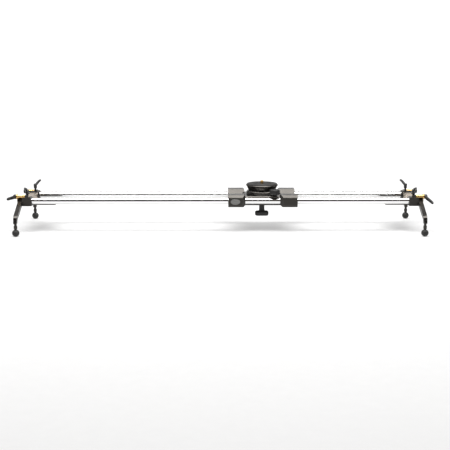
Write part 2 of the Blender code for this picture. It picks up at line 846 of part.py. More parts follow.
def clamp_washer():
    bore = TIE_RADIUS + GAP
    rim = 30.0
    profile = [
        *reversed(sphere_points(WASHER_OUTSIDE, *angles_of(WASHER_OUTSIDE, bore, rim), 4)),
        *sphere_points(WASHER_INSIDE, *angles_of(WASHER_INSIDE, bore, rim - 1.5), 4),
    ]
    at = (CARRIAGE_X, 0, 0)
    washer = turned("clamp_washer", profile, at, (0, 0, 1), ANODISED, ROUND, ring=True)
    slot = arc((WASHER_SLOT, 0), bore, -90, 90, 8) + arc((-WASHER_SLOT, 0), bore, 90, 270, 8)
    cut(washer, prism("clamp_washer_slot", [slot], 30, "XY", at))
    return washer


def t_handle():
    top = SPHERE_ABOVE - WASHER_OUTSIDE - GAP
    bore = TIE_RADIUS + GAP
    stem_profile = [(0, -31), (bore, -31), (bore, top), (8.0, top), (8.6, top - 0.8), (8.6, -46), (0, -46)]
    handle = turned("t_handle", stem_profile, (CARRIAGE_X, 0, 0), (0, 0, 1), PLASTIC, 24)
    grip_outline = [
        (-15, -58),
        (15, -58),
        (21.5, -51.5),
        (21.5, -46),
        (17, -41),
        (-17, -41),
        (-21.5, -46),
        (-21.5, -51.5),
    ]
    grip = prism("t_handle_grip", [grip_outline], 17, "XZ", (CARRIAGE_X, 0, 0), bevel=2.0)
    grip.modifiers["bevel"].angle_limit = radians(60)
    join(handle, grip)
    return handle


def brake():
    """Brake knob with its screw, and the pad that it presses on the front rail."""
    at, up = (CARRIAGE_X + KNOB_X, -RAIL_SPACING / 2, 0), (0, 0, 1)
    base = BOSS_ABOVE + 1.0
    profile = [
        (0, base + 18),
        (12.5, base + 18),
        (KNOB_RADIUS - 0.8, base + 16),
        (KNOB_RADIUS, base + 14),
        (KNOB_RADIUS, base + 5),
        (13.0, base + 3),
        (9.0, base),
        (4.2, base),
        (4.2, 12.8),
        (0, 12.8),
    ]
    knob = turned("brake_knob", profile, at, up, PLASTIC, 30)
    flutes = bmesh.new()
    for angle in range(0, 360, 60):
        spot = Matrix.Rotation(radians(angle), 4, "Z") @ Matrix.Translation((20.5 * MM, 0, 0))
        bmesh.ops.create_cone(
            flutes, cap_ends=True, segments=12, radius1=6 * MM, radius2=6 * MM, depth=60 * MM, matrix=spot
        )
    mesh = bpy.data.meshes.new("brake_knob_flutes")
    flutes.to_mesh(mesh)
    flutes.free()
    cut(knob, place(new_part("brake_knob_flutes", mesh, None), (at[0], at[1], base + 18)))
    pad = turned("brake_pad", [(0, 12.5), (4.2, 12.5), (4.2, 9.85), (0, 9.85)], at, up, PLASTIC, 16)
    return knob, pad


def badge():
    """A blank oval plate on the front of the left ear."""
    outline = [(15 * cos(a), 9 * sin(a)) for a in [2 * pi * i / 28 for i in range(28)]]
    thickness = 1.2
    at = (CARRIAGE_X - 85, -EAR_HALF_WIDTH - GAP - thickness / 2, 1.0)
    return prism("badge_plate", [outline], thickness, "XZ", at, BADGE_METAL)


# ------------------------------------------------------------------ assembly


def assemble():
    frame = [rail("rail_front", -RAIL_SPACING / 2), rail("rail_rear", RAIL_SPACING / 2)]
    for end in (-1, 1):
        frame += [cross_bar(end), tripod_plate(end)]
    for end, side in CORNERS:
        frame += [end_block(end, side), pivot_bolt(end, side)]
    base = pivot("frame", (0, 0, 0), *frame)
    for end, side in CORNERS:
        x, y = end * (HUB_INNER_X + HUB_OUTER_X) / 2, side * RAIL_SPACING / 2
        leg = pivot(corner_name("leg_axis", end, side), (x, y, 0), leg_arm(end, side), parent=base)
        sole = (x, y + side * LEG_REACH, -LEG_END_BELOW)
        pivot(corner_name("foot_axis", end, side), sole, *foot(end, side), parent=leg)
        clamp_y, above = clamp_axis(side)
        at = (end * HUB_OUTER_X, clamp_y, above)
        pivot(corner_name("leg_clamp_axis", end, side), at, *leg_lock(end, side), parent=base)
        at = (end * BLOCK_X, y, RAIL_HANDLE_BASE)
        pivot(corner_name("rail_clamp_axis", end, side), at, *rail_clamp(end, side), parent=base)
    knob, pad = brake()
    moving = [carriage_body(), bowl(), pad, badge()]
    moving += [bushing(end, side) for end, side in CORNERS]
    carriage = pivot("carriage_axis", (CARRIAGE_X, 0, 0), *moving, parent=base)
    at = (CARRIAGE_X + KNOB_X, -RAIL_SPACING / 2, DECK_ABOVE)
    pivot("brake_axis", at, knob, parent=carriage)
    centre = (CARRIAGE_X, 0, SPHERE_ABOVE)
    tilt = pivot("tilt_axis", centre, clamp_washer(), parent=carriage)
    ball = pivot("ball_axis", centre, half_ball(), *head_pieces(), parent=tilt)
    pivot("t_handle_axis", (CARRIAGE_X, 0, -WASHER_OUTSIDE + SPHERE_ABOVE), t_handle(), parent=ball)


assemble()
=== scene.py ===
"""Looks of a camera slider: fine meshes, materials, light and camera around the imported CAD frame.

Sizes are in millimetres and become metres where a mesh is made. Heights are counted from the rail axis.
"""

import json
from math import asin, atan2, cos, degrees, pi, radians, sin, sqrt

import bmesh
import bpy
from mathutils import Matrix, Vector


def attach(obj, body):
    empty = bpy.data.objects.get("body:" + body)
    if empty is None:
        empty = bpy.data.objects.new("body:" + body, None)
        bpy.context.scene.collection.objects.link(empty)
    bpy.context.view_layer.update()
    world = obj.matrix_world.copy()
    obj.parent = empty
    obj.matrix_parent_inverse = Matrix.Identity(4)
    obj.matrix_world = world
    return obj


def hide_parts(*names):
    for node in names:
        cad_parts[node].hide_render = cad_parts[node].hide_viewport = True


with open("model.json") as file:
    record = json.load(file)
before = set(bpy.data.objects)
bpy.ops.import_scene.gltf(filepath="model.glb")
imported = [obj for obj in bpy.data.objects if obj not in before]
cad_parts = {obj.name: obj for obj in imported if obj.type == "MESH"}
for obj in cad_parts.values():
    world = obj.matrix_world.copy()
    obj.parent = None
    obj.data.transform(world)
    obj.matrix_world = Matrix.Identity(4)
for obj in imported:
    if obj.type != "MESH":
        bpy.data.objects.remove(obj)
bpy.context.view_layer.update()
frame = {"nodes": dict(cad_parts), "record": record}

MM = 0.001
GAP = 0.3
RAIL_HEIGHT = 95.0
RAIL_RADIUS = 9.525
RAIL_LENGTH = 1219.2
RAIL_Y = 63.5
RAIL_TAP_DEPTH = 22.0
BLOCK_X = 597.8
LEG_X = 619.0
LEG_REACH = 86.0
FOOT_RADIUS = 11.0
BAR_SCREW_ABOVE = 9.9
PLATE_SCREW_ABOVE = -15.5

# Leg clamp screws: (outwards from the rail, above it), where they and their handles start
FRONT_CLAMP = (8.5, 15.0)
REAR_CLAMP = (14.5, 9.3)
CLAMP_START_X = 593.1
CLAMP_HUB_X = 629.3
CLAMP_HANDLE_DROOP = {(-1, -1): 0, (1, -1): -15, (-1, 1): 1, (1, 1): 1}

# Rail clamps: the foot of the handle and the top of the stud
RAIL_CLAMP_BASE = 21.0
RAIL_CLAMP_TOP = 30.0

CARRIAGE_X = 131.0
EAR_END = 107.0
DECK_HALF_LENGTH = 60.0
BUSHING_RADIUS = 14.0
BRAKE_X = CARRIAGE_X + 37.0
BRAKE_BASE = 18.0
BADGE_CENTRE = (CARRIAGE_X - 85, -88.0, 1.0)
BADGE_HALF_SIZE = (15, 9)

# Levelling head: the centre of its spheres, their radii, and the bowl about them
SPHERE_ABOVE = 53.0
BALL_SPHERE = 50.0
BOWL_INSIDE = 50.3
BOWL_OUTSIDE = 56.0
BOWL_SEAT = 12.8
BOWL_FLANGE = 25.0
BOWL_SCREW_RADIUS = 45.2
BOWL_SCREW_ABOVE = 6.1
WASHER_OUTSIDE = 61.0

CORNERS = [(end, side) for end in (-1, 1) for side in (-1, 1)]
UP = (0, 0, 1)
DOWN = (0, 0, -1)


def corner_name(piece, end, side):
    return f"{piece}_{'front' if side < 0 else 'rear'}_{'left' if end < 0 else 'right'}"


# ------------------------------------------------------------------ material building


class Paint:
    """A node material under construction: a Principled shader and small helpers that feed it."""

    def __init__(self, name, **sockets):
        self.material = bpy.data.materials.new(name)
        self.material.use_nodes = True
        self.tree = self.material.node_tree
        self.shader = self.tree.nodes["Principled BSDF"]
        for socket, value in sockets.items():
            self.shader.inputs[socket.replace("_", " ")].default_value = value
        self.coords = self.tree.nodes.new("ShaderNodeTexCoord").outputs["Object"]

    def node(self, kind, inputs=None, **settings):
        made = self.tree.nodes.new(kind)
        for key, value in settings.items():
            setattr(made, key, value)
        for key, value in (inputs or {}).items():
            if hasattr(value, "is_linked"):
                self.tree.links.new(value, made.inputs[key])
            else:
                made.inputs[key].default_value = value
        return made

    def link(self, output, socket):
        self.tree.links.new(output, self.shader.inputs[socket])

    def noise(self, scale, detail=4.0, stretch=(1, 1, 1), roughness=0.55, distortion=0.0):
        mapped = self.node("ShaderNodeMapping", {"Vector": self.coords, "Scale": stretch})
        texture = self.node(
            "ShaderNodeTexNoise",
            {
                "Vector": mapped.outputs[0],
                "Scale": scale,
                "Detail": detail,
                "Roughness": roughness,
                "Distortion": distortion,
            },
        )
        return texture.outputs["Fac"]

    def ramp(self, value, stops):
        made = self.node("ShaderNodeValToRGB", {"Fac": value})
        elements = made.color_ramp.elements
        while len(elements) < len(stops):
            elements.new(0.5)
        for element, (position, colour) in zip(elements, stops):
            element.position = position
            element.color = (*colour, 1) if isinstance(colour, tuple) else (colour, colour, colour, 1)
        return made.outputs["Color"]

    def spread(self, value, low, high, start=0.3, stop=0.7):
        made = self.node(
            "ShaderNodeMapRange",
            {"Value": value, "From Min": start, "From Max": stop, "To Min": low, "To Max": high},
        )
        return made.outputs["Result"]

    def maths(self, operation, a, b):
        return self.node("ShaderNodeMath", {0: a, 1: b}, operation=operation, use_clamp=True).outputs[0]

    def mix(self, factor, a, b):
        made = self.node("ShaderNodeMix", {"Factor": factor}, data_type="RGBA")
        for name, value in (("A", a), ("B", b)):
            for spot in [s for s in made.inputs if s.type == "RGBA" and s.name == name]:
                if hasattr(value, "is_linked"):
                    self.tree.links.new(value, spot)
                else:
                    spot.default_value = (*value, 1)
        return [s for s in made.outputs if s.type == "RGBA"][0]

    def edge(self, radius, low=0.02, high=0.2):
        """White along edges of the mesh: how far a rounded normal leans from the real one."""
        rounded = self.node("ShaderNodeBevel", {"Radius": radius * MM}, samples=4)
        plain = self.node("ShaderNodeNewGeometry").outputs["Normal"]
        lean = self.node(
            "ShaderNodeVectorMath", {0: rounded.outputs[0], 1: plain}, operation="DOT_PRODUCT"
        ).outputs["Value"]
        return self.spread(lean, 1.0, 0.0, 1 - high, 1 - low)

    def bump(self, *layers):
        """Layers of (height, strength, depth in mm), the finest last."""
        normal = None
        for height, strength, depth in layers:
            inputs = {"Height": height, "Strength": strength, "Distance": depth * MM}
            if normal is not None:
                inputs["Normal"] = normal
            normal = self.node("ShaderNodeBump", inputs).outputs["Normal"]
        self.link(normal, "Normal")
        return self.material


def chrome_paint():
    paint = Paint("chrome_finish", Metallic=1.0)
    smudge = paint.noise(9, 6, (0.6, 2, 2))
    ground = paint.noise(900, 3, (5, 0.15, 0.15))
    paint.link(paint.ramp(smudge, [(0.3, (0.80, 0.80, 0.80)), (0.75, (0.90, 0.90, 0.89))]), "Base Color")
    rough = paint.maths("ADD", paint.spread(smudge, 0.095, 0.12), paint.spread(ground, 0.0, 0.012))
    paint.link(rough, "Roughness")
    return paint.bump((ground, 0.02, 0.01))


def anodised_paint(name, colour, worn, roughness, metallic, grain=0.16):
    """Bead blasted and anodised aluminium: fine grain, cloudy sheen, and the dye rubbed thin on edges."""
    paint = Paint(name, Metallic=metallic, Specular_IOR_Level=0.55, Specular_Tint=(1.0, 0.93, 0.85, 1.0))
    cloud = paint.noise(16, 5)
    fleck = paint.noise(2600, 2)
    rub = paint.noise(190, 6, roughness=0.7)
    edge = paint.maths("MULTIPLY", paint.edge(0.5), paint.spread(rub, 0.0, 0.6, 0.45, 0.72))
    dark = tuple(c * 0.8 for c in colour)
    light = tuple(min(c * 1.3 + 0.002, 1) for c in colour)
    base = paint.ramp(cloud, [(0.25, dark), (0.75, light)])
    paint.link(paint.mix(edge, base, worn), "Base Color")
    sheen = paint.spread(cloud, roughness - 0.05, roughness + 0.05)
    rough = paint.maths("ADD", sheen, paint.spread(fleck, -0.03, 0.03))
    paint.link(rough, "Roughness")
    return paint.bump((fleck, grain, 0.02))


def turned_metal_paint(name, dull, bright, roughness):
    """Machined metal, with faint tarnish and fine tool marks."""
    paint = Paint(name, Metallic=1.0)
    tarnish = paint.noise(120, 5, roughness=0.65)
    marks = paint.noise(1500, 3, (3, 1, 3))
    paint.link(paint.ramp(tarnish, [(0.3, dull), (0.7, bright)]), "Base Color")
    sheen = paint.spread(tarnish, roughness + 0.06, roughness - 0.03)
    rough = paint.maths("ADD", sheen, paint.spread(marks, -0.03, 0.05))
    paint.link(rough, "Roughness")
    return paint.bump((marks, 0.10, 0.02))


def coated_paint():
    """Powder coat: a fine orange peel, slightly glossier where hands rub it."""
    paint = Paint("lever_finish", Metallic=0.0, Specular_IOR_Level=0.5)
    peel = paint.noise(900, 3)
    rubbed = paint.noise(45, 4)
    edge = paint.maths("MULTIPLY", paint.edge(0.6), paint.spread(rubbed, 0.0, 0.35))
    base = paint.ramp(rubbed, [(0.3, (0.012, 0.012, 0.012)), (0.7, (0.022, 0.022, 0.023))])
    paint.link(paint.mix(edge, base, (0.09, 0.09, 0.09)), "Base Color")
    paint.link(paint.spread(rubbed, 0.46, 0.33), "Roughness")
    return paint.bump((peel, 0.22, 0.05))


def moulded_paint(name, colour, roughness, scale, strength, dust):
    """Moulded plastic or rubber: fine grain, pale dust where it gathers."""
    paint = Paint(name, Metallic=0.0, Specular_IOR_Level=0.45)
    grain = paint.noise(scale, 3)
    cloud = paint.noise(60, 5, roughness=0.65)
    light = tuple(c * 1.6 + dust for c in colour)
    paint.link(paint.ramp(cloud, [(0.35, colour), (0.8, light)]), "Base Color")
    sheen = paint.spread(cloud, roughness - 0.06, roughness + 0.06)
    rough = paint.maths("ADD", sheen, paint.spread(grain, -0.04, 0.04))
    paint.link(rough, "Roughness")
    return paint.bump((cloud, 0.03, 0.2), (grain, strength, 0.05))


def brushed_paint():
    """Badge metal, brushed along its length."""
    paint = Paint("badge_finish", Metallic=0.9)
    brush = paint.noise(1400, 4, (0.04, 1, 1))
    stain = paint.noise(150, 4)
    paint.link(paint.ramp(brush, [(0.3, (0.17, 0.17, 0.165)), (0.7, (0.30, 0.30, 0.29))]), "Base Color")
    paint.link(paint.spread(stain, 0.30, 0.44), "Roughness")
    return paint.bump((brush, 0.15, 0.03))


FINISH = {
    "chrome_steel": chrome_paint(),
    "black_anodised": anodised_paint(
        "black_anodised_finish", (0.007, 0.0068, 0.0065), (0.10, 0.095, 0.09), 0.33, 0.0
    ),
    "clear_anodised": anodised_paint(
        "clear_anodised_finish", (0.66, 0.61, 0.55), (0.82, 0.80, 0.78), 0.38, 1.0, 0.10
    ),
    "zinc_steel": turned_metal_paint("zinc_finish", (0.36, 0.36, 0.34), (0.56, 0.56, 0.54), 0.30),
    "black_oxide_steel": turned_metal_paint(
        "black_oxide_finish", (0.030, 0.029, 0.028), (0.055, 0.053, 0.050), 0.34
    ),
    "brass": turned_metal_paint("brass_finish", (0.55, 0.33, 0.10), (0.86, 0.60, 0.26), 0.20),
    "black_lever_coat": coated_paint(),
    "black_rubber": moulded_paint("rubber_finish", (0.017, 0.0165, 0.016), 0.68, 1600, 0.25, 0.006),
    "black_plastic": moulded_paint("plastic_finish", (0.013, 0.013, 0.013), 0.45, 1100, 0.18, 0.003),
    "bushing_steel": turned_metal_paint("bushing_finish", (0.38, 0.38, 0.39), (0.55, 0.55, 0.57), 0.26),
    "badge_metal": brushed_paint(),
}


# ------------------------------------------------------------------ mesh building


class Shape:
    """Points in millimetres and faces of one piece."""

    def __init__(self):
        self.points = []
        self.faces = []

    def ring_strip(self, rings, close_ends=(False, False), loop=False):
        """Joins equal rings of points in order."""
        start, sides = len(self.points), len(rings[0])
        for ring in rings:
            self.points += ring
        count = len(rings)
        for row in range(count if loop else count - 1):
            low, high = start + row * sides, start + (row + 1) % count * sides
            for i in range(sides):
                j = (i + 1) % sides
                self.faces.append((low + i, low + j, high + j, high + i))
        if close_ends[0]:
            self.faces.append(tuple(start + i for i in reversed(range(sides))))
        if close_ends[1]:
            self.faces.append(tuple(start + (count - 1) * sides + i for i in range(sides)))
        return self

    def lathe(self, profile, origin, direction, steps=64, bend=None, loop=False):
        """Turns (radius, height) points about a direction; bend(radius, height, angle) alters a radius."""
        turn = Vector(UP).rotation_difference(Vector(direction)).to_matrix()
        centre = Vector(origin)
        rings = []
        for radius, height in profile:
            ring = []
            for i in range(steps):
                angle = 2 * pi * i / steps
                here = bend(radius, height, angle) if bend else radius
                ring.append(centre + turn @ Vector((here * cos(angle), here * sin(angle), height)))
            rings.append(ring)
        ends = (not loop, not loop)
        return self.ring_strip(rings, ends, loop)

    def sweep(self, path, sections, side_hint, sides=20, power=2.4):
        """A rounded bar through points, with (half width, half height) at each."""
        spine, sizes = smooth_line(path, sections)
        rings = []
        for i, here in enumerate(spine):
            heading = (spine[min(i + 1, len(spine) - 1)] - spine[max(i - 1, 0)]).normalized()
            across = heading.cross(Vector(side_hint)).normalized()
            upward = across.cross(heading)
            wide, high = sizes[i]
            ring = []
            for k in range(sides):
                angle = 2 * pi * k / sides
                c, s = cos(angle), sin(angle)
                x = wide * abs(c) ** (2 / power) * (1 if c > 0 else -1)
                y = high * abs(s) ** (2 / power) * (1 if s > 0 else -1)
                ring.append(here + across * x + upward * y)
            rings.append(ring)
        return self.ring_strip(rings, (True, True))

    def make(self, name, slot, body, replaces=(), sharp=38, bevel=0.0):
        mesh = bpy.data.meshes.new(name)
        drop = Vector((0, 0, RAIL_HEIGHT))
        mesh.from_pydata([(Vector(p) + drop) * MM for p in self.points], [], self.faces)
        tool = bmesh.new()
        tool.from_mesh(mesh)
        bmesh.ops.remove_doubles(tool, verts=tool.verts, dist=1e-6)
        bmesh.ops.recalc_face_normals(tool, faces=tool.faces)
        tool.to_mesh(mesh)
        tool.free()
        for face in mesh.polygons:
            face.use_smooth = True
        mesh.set_sharp_from_angle(angle=radians(sharp))
        mesh.materials.append(FINISH[slot])
        obj = bpy.data.objects.new(name, mesh)
        bpy.context.scene.collection.objects.link(obj)
        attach(obj, body)
        if replaces:
            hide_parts(*replaces)
        return obj


def smooth_line(path, sections, steps=6):
    """A Catmull-Rom curve through points, with the sections blended along it."""
    points = [Vector(p) for p in path]
    spine, sizes = [], []
    for i in range(len(points) - 1):
        a, b = points[max(i - 1, 0)], points[i]
        c, d = points[i + 1], points[min(i + 2, len(points) - 1)]
        for k in range(steps):
            t = k / steps
            bow, twist = 2 * a - 5 * b + 4 * c - d, 3 * b - a - 3 * c + d
            spine.append(0.5 * (2 * b + (c - a) * t + bow * t * t + twist * t**3))
            ease = t * t * (3 - 2 * t)
            sizes.append(tuple(p + (q - p) * ease for p, q in zip(sections[i], sections[i + 1])))
    spine.append(points[-1])
    sizes.append(sections[-1])
    return spine, sizes


def fillet(points, radius, steps=4):
    """Rounds the corners of a profile."""
    out = [points[0]]
    for before, here, after in zip(points, points[1:], points[2:]):
        a, b, c = Vector(before), Vector(here), Vector(after)
        back, ahead = a - b, c - b
        if back.length < 1e-6 or ahead.length < 1e-6 or back.angle(ahead) > radians(158):
            out.append(here)
            continue
        size = min(radius, back.length * 0.45, ahead.length * 0.45)
        start, stop = b + back.normalized() * size, b + ahead.normalized() * size
        for i in range(steps + 1):
            t = i / steps
            out.append(tuple(start * (1 - t) ** 2 + b * 2 * t * (1 - t) + stop * t * t))
    out.append(points[-1])
    return out


def thread(pitch, depth, low, high):
    """A helical thread between two heights, fading out at both ends."""

    def bend(radius, height, angle):
        if radius < 1.0 or not low < height < high:
            return radius
        fade = min((height - low) / pitch, (high - height) / pitch, 1.0)
        wave = abs(((height / pitch + angle / (2 * pi)) % 1.0) * 2 - 1)
        return radius - depth * fade * wave

    return bend


def flutes(count, depth, low, high):
    """Grooves along a stem between two heights."""

    def bend(radius, height, angle):
        if not low < height < high:
            return radius
        return radius - depth * abs(sin(angle * count / 2)) ** 4

    return bend


def sphere_profile(radius, centre, first, last, steps):
    """Points from angle first to last, in degrees from straight down."""
    angles = [radians(first + (last - first) * i / steps) for i in range(steps + 1)]
    return [(radius * sin(a), centre - radius * cos(a)) for a in angles]


# ------------------------------------------------------------------ CAD nodes that stay


def refine(node, bevel=0.6, segments=3):
    """Shades a CAD node smooth, and rounds its edges with modifiers."""
    obj = frame["nodes"][node]
    mesh = obj.data
    if "custom_normal" in mesh.attributes:
        mesh.attributes.remove(mesh.attributes["custom_normal"])
    for face in mesh.polygons:
        face.use_smooth = True
    obj.modifiers.new("weld", "WELD").merge_threshold = 1e-6
    flat = obj.modifiers.new("flat", "DECIMATE")
    flat.decimate_type = "DISSOLVE"
    flat.angle_limit = radians(0.6)
    round_over = obj.modifiers.new("bevel", "BEVEL")
    round_over.width = bevel * MM
    round_over.segments = segments
    round_over.limit_method = "ANGLE"
    round_over.angle_limit = radians(28)
    round_over.miter_outer = "MITER_ARC"
    obj.modifiers.new("normals", "WEIGHTED_NORMAL").keep_sharp = False


for subpart in frame["record"]["subparts"]:
    obj = frame["nodes"][subpart["node"]]
    obj.data.materials.clear()
    obj.data.materials.append(FINISH[subpart["material_slot"]])

refine("carriage_body", 0.7)
refine("clamp_washer", 0.4, 2)
refine("badge_plate", 0.3, 2)
for side_name in ("left", "right"):
    refine("cross_bar_" + side_name)
    refine("tripod_plate_" + side_name, 0.4, 2)
for end, side in CORNERS:
    refine(corner_name("end_block", end, side), 0.5)
    refine(corner_name("leg_arm", end, side), 0.7)
    refine(corner_name("leg_pivot_bolt", end, side), 0.25, 2)


# ------------------------------------------------------------------ rails, legs and feet


def rails():
    """Chromed rods with a tapped hole in each end."""
    half = RAIL_LENGTH / 2
    end = [
        (3.4, half - RAIL_TAP_DEPTH),
        (3.4, half - 1.0),
        (4.2, half),
        (RAIL_RADIUS - 1.0, half),
        (RAIL_RADIUS, half - 1.0),
    ]
    end = fillet(end, 0.3, 3)
    profile = end + [(r, -h) for r, h in reversed(end)]
    for name, y in (("rail_front", -RAIL_Y), ("rail_rear", RAIL_Y)):
        Shape().lathe(profile, (0, y, 0), (1, 0, 0), 128).make(
            name + "_chromed", "chrome_steel", "frame", [name]
        )


def feet():
    """Studs with lock collars and rubber balls, all turned smooth."""
    low = FOOT_RADIUS - RAIL_HEIGHT
    for end, side in CORNERS:
        body = corner_name("foot", end, side)
        at = (end * LEG_X, side * (RAIL_Y + LEG_REACH), 0)
        stud = [
            (3.2, -44.0),
            (4.0, -44.8),
            (4.0, -45),
            (4.0, low + 4.4),
            (3.5, low + 3.9),
        ]
        node = corner_name("foot_stud", end, side)
        Shape().lathe(stud, at, UP, 32).make(
            node + "_threaded", "black_oxide_steel", body, [node], sharp=75
        )
        ring = [
            (4.3, -62.0),
            (4.8, -62.0),
            (5.3, -62.6),
            (5.4, -63.2),
            (5.4, -70.3),
            (5.3, -70.9),
            (4.8, -71.5),
            (4.3, -71.5),
        ]
        node = corner_name("foot_lock_collar", end, side)
        Shape().lathe(ring, at, UP, 120, loop=True).make(
            node + "_knurled", "black_anodised", body, [node], sharp=50
        )
        mouth = degrees(asin(5.2 / FOOT_RADIUS))
        skin = sphere_profile(FOOT_RADIUS, low, 0, 180 - mouth, 40)
        seam = [(r - 0.12 if abs(h - low) < 0.45 else r, h) for r, h in skin]
        bottom, top = seam[0][1], seam[-1][1]
        ball = [(0.6, bottom), *seam[1:], (4.7, top - 0.1), (4.35, top - 0.8), (4.3, low + 3.6)]
        node = corner_name("foot_ball", end, side)
        Shape().lathe(ball, at, UP, 64).make(node + "_moulded", "black_rubber", body, [node])


# ------------------------------------------------------------------ clamps with handles


def clamp_place(side):
    """Y and height of the leg clamp's axis."""
    outwards, above = FRONT_CLAMP if side < 0 else REAR_CLAMP
    return side * (RAIL_Y + outwards), above


def screw_head(name, at, direction, body, radius=2.7, height=2.0, slot="zinc_steel"):
    """A button head screw with a hexagon socket."""
    turns = [radians(a) for a in (0, 20, 40, 58)]
    dome = [(radius * cos(a), height * 0.25 + height * 0.75 * sin(a)) for a in turns]
    profile = [(radius, 0.0), *dome]
    top = dome[-1][1]

    def hexagon(r, h, angle):
        if r > 1.35 or h > top + 1:
            return r
        return r / cos((angle + pi / 6) % (pi / 3) - pi / 6)

    socket = [(1.3, top), (1.25, top - 0.15), (1.25, height * 0.3), (0.2, height * 0.2)]
    Shape().lathe(profile + socket, at, direction, 48, hexagon).make(name, slot, body, sharp=32)


def leg_clamps():
    """Brass screws with cranked handles, which pinch the legs."""
    for end, side in CORNERS:
        y, above = clamp_place(side)
        body = corner_name("leg_clamp", end, side)
        out = (end, 0, 0)
        sleeve, shoulder = 10.3, 32.7
        profile = [
            (0.3, shoulder + 3.2),
            (7.2, shoulder + 3.2),
            (8.0, shoulder + 2.4),
            (8.0, shoulder),
            (5.5, shoulder),
            (5.5, sleeve + 5.4),
            (5.1, sleeve + 5.0),
            (5.1, sleeve + 4.0),
            (5.5, sleeve + 3.6),
            (5.5, sleeve + 0.6),
            (4.9, sleeve),
            (2.9, sleeve),
            (2.9, 0.5),
            (2.4, 0.0),
            (0.3, 0.0),
        ]
        node = corner_name("leg_clamp_screw", end, side)
        Shape().lathe(fillet(profile, 0.35, 3), (end * CLAMP_START_X, y, above), out, 72).make(
            node + "_turned", "brass", body, [node]
        )
        hub = CLAMP_HUB_X
        droop = radians(CLAMP_HANDLE_DROOP[(end, side)])
        steps = [
            (0, 5.0, 5.8, 4.2),
            (8, 5.4, 5.6, 4.4),
            (18, 7.4, 5.2, 4.3),
            (29, 11.0, 4.8, 4.1),
            (39, 14.0, 4.6, 3.9),
            (47, 15.9, 4.4, 3.7),
            (50.6, 16.4, 3.4, 2.9),
            (52, 16.6, 1.5, 1.3),
        ]
        path = [
            (end * (hub + rise), y + side * reach * cos(droop), above + reach * sin(droop))
            for reach, rise, _, _ in steps
        ]
        shape = Shape()
        rim = [
            (0.3, 8.6),
            (3.0, 8.6),
            (3.3, 9.4),
            (5.6, 9.4),
            (7.0, 8.0),
            (7.0, 1.0),
            (6.4, 0.0),
            (0.3, 0.0),
        ]
        shape.lathe(fillet(rim, 0.8, 4), (end * hub, y, above), out, 56)
        shape.sweep(path, [(wide, thick) for _, _, wide, thick in steps], (1, 0, 0))
        node = corner_name("leg_clamp_handle", end, side)
        shape.make(node + "_cast", "black_lever_coat", body, [node], sharp=60)
        screw_head(node + "_button", (end * (hub + 8.4), y, above), out, body, 2.5, 0.9)


def rail_clamps():
    """Upright studs with handles, which hold the rods in the end blocks."""
    for end, side in CORNERS:
        x, y = end * BLOCK_X, side * RAIL_Y
        body = corner_name("rail_clamp", end, side)
        low = RAIL_RADIUS + GAP
        top = RAIL_CLAMP_TOP
        stud = [
            (0.3, top),
            (2.5, top),
            (3.0, top - 0.5),
            (3.0, top - 0.7),
            (3.0, low + 0.6),
            (2.5, low),
            (0.3, low),
        ]
        node = corner_name("rail_clamp_stud", end, side)
        Shape().lathe(stud, (x, y, 0), UP, 32).make(
            node + "_threaded", "black_oxide_steel", body, [node], sharp=75
        )
        base = RAIL_CLAMP_BASE
        rim = [
            (3.3, base),
            (4.3, base),
            (5.0, base + 1.2),
            (5.3, base + 4),
            (5.3, base + 13.6),
            (3.8, base + 15),
            (2.6, base + 15),
            (2.4, base + 14.3),
            (0.3, base + 14.3),
        ]
        shape = Shape().lathe(fillet(rim, 0.7, 4), (x, y, 0), UP, 56)
        heading = (Vector((-end * 3, -36)) if side < 0 else Vector((-end * 11, 34))).normalized()
        steps = [
            (1, 10.4, 4.4, 3.4),
            (6, 11.8, 4.3, 3.6),
            (13, 15.0, 4.2, 3.7),
            (21, 18.6, 4.1, 3.6),
            (28, 20.8, 4.0, 3.4),
            (33.5, 21.9, 3.4, 2.9),
            (35.8, 22.2, 1.6, 1.4),
        ]
        path = [
            (x + heading.x * reach, y + heading.y * reach, base + rise)
            for reach, rise, _, _ in steps
        ]
        shape.sweep(path, [(wide, thick) for _, _, wide, thick in steps], UP)
        node = corner_name("rail_clamp_handle", end, side)
        shape.make(node + "_cast", "black_lever_coat", body, [node], sharp=60)
        screw_head(node + "_button", (x, y, base + 14.1), UP, body, 2.2, 0.8)


def end_screws():
    """Screws of the cross bars and of the tripod plates."""
    for end in (-1, 1):
        side_name = "left" if end < 0 else "right"
        for y in (-43.6, 43.6):
            for dx in (-5.4, 5.4):
                row = "inner" if dx * end < 0 else "outer"
                name = f"bar_screw_{side_name}_{'front' if y < 0 else 'rear'}_{row}"
                spot = (end * BLOCK_X + dx, y, BAR_SCREW_ABOVE)
                screw_head(name, spot, UP, "frame", slot="black_lever_coat")
        for y in (-20, 20):
            name = f"plate_screw_{side_name}_{'front' if y < 0 else 'rear'}"
            spot = (end * BLOCK_X, y, PLATE_SCREW_ABOVE)
            screw_head(name, spot, DOWN, "frame", 3.4)


# ------------------------------------------------------------------ carriage and head


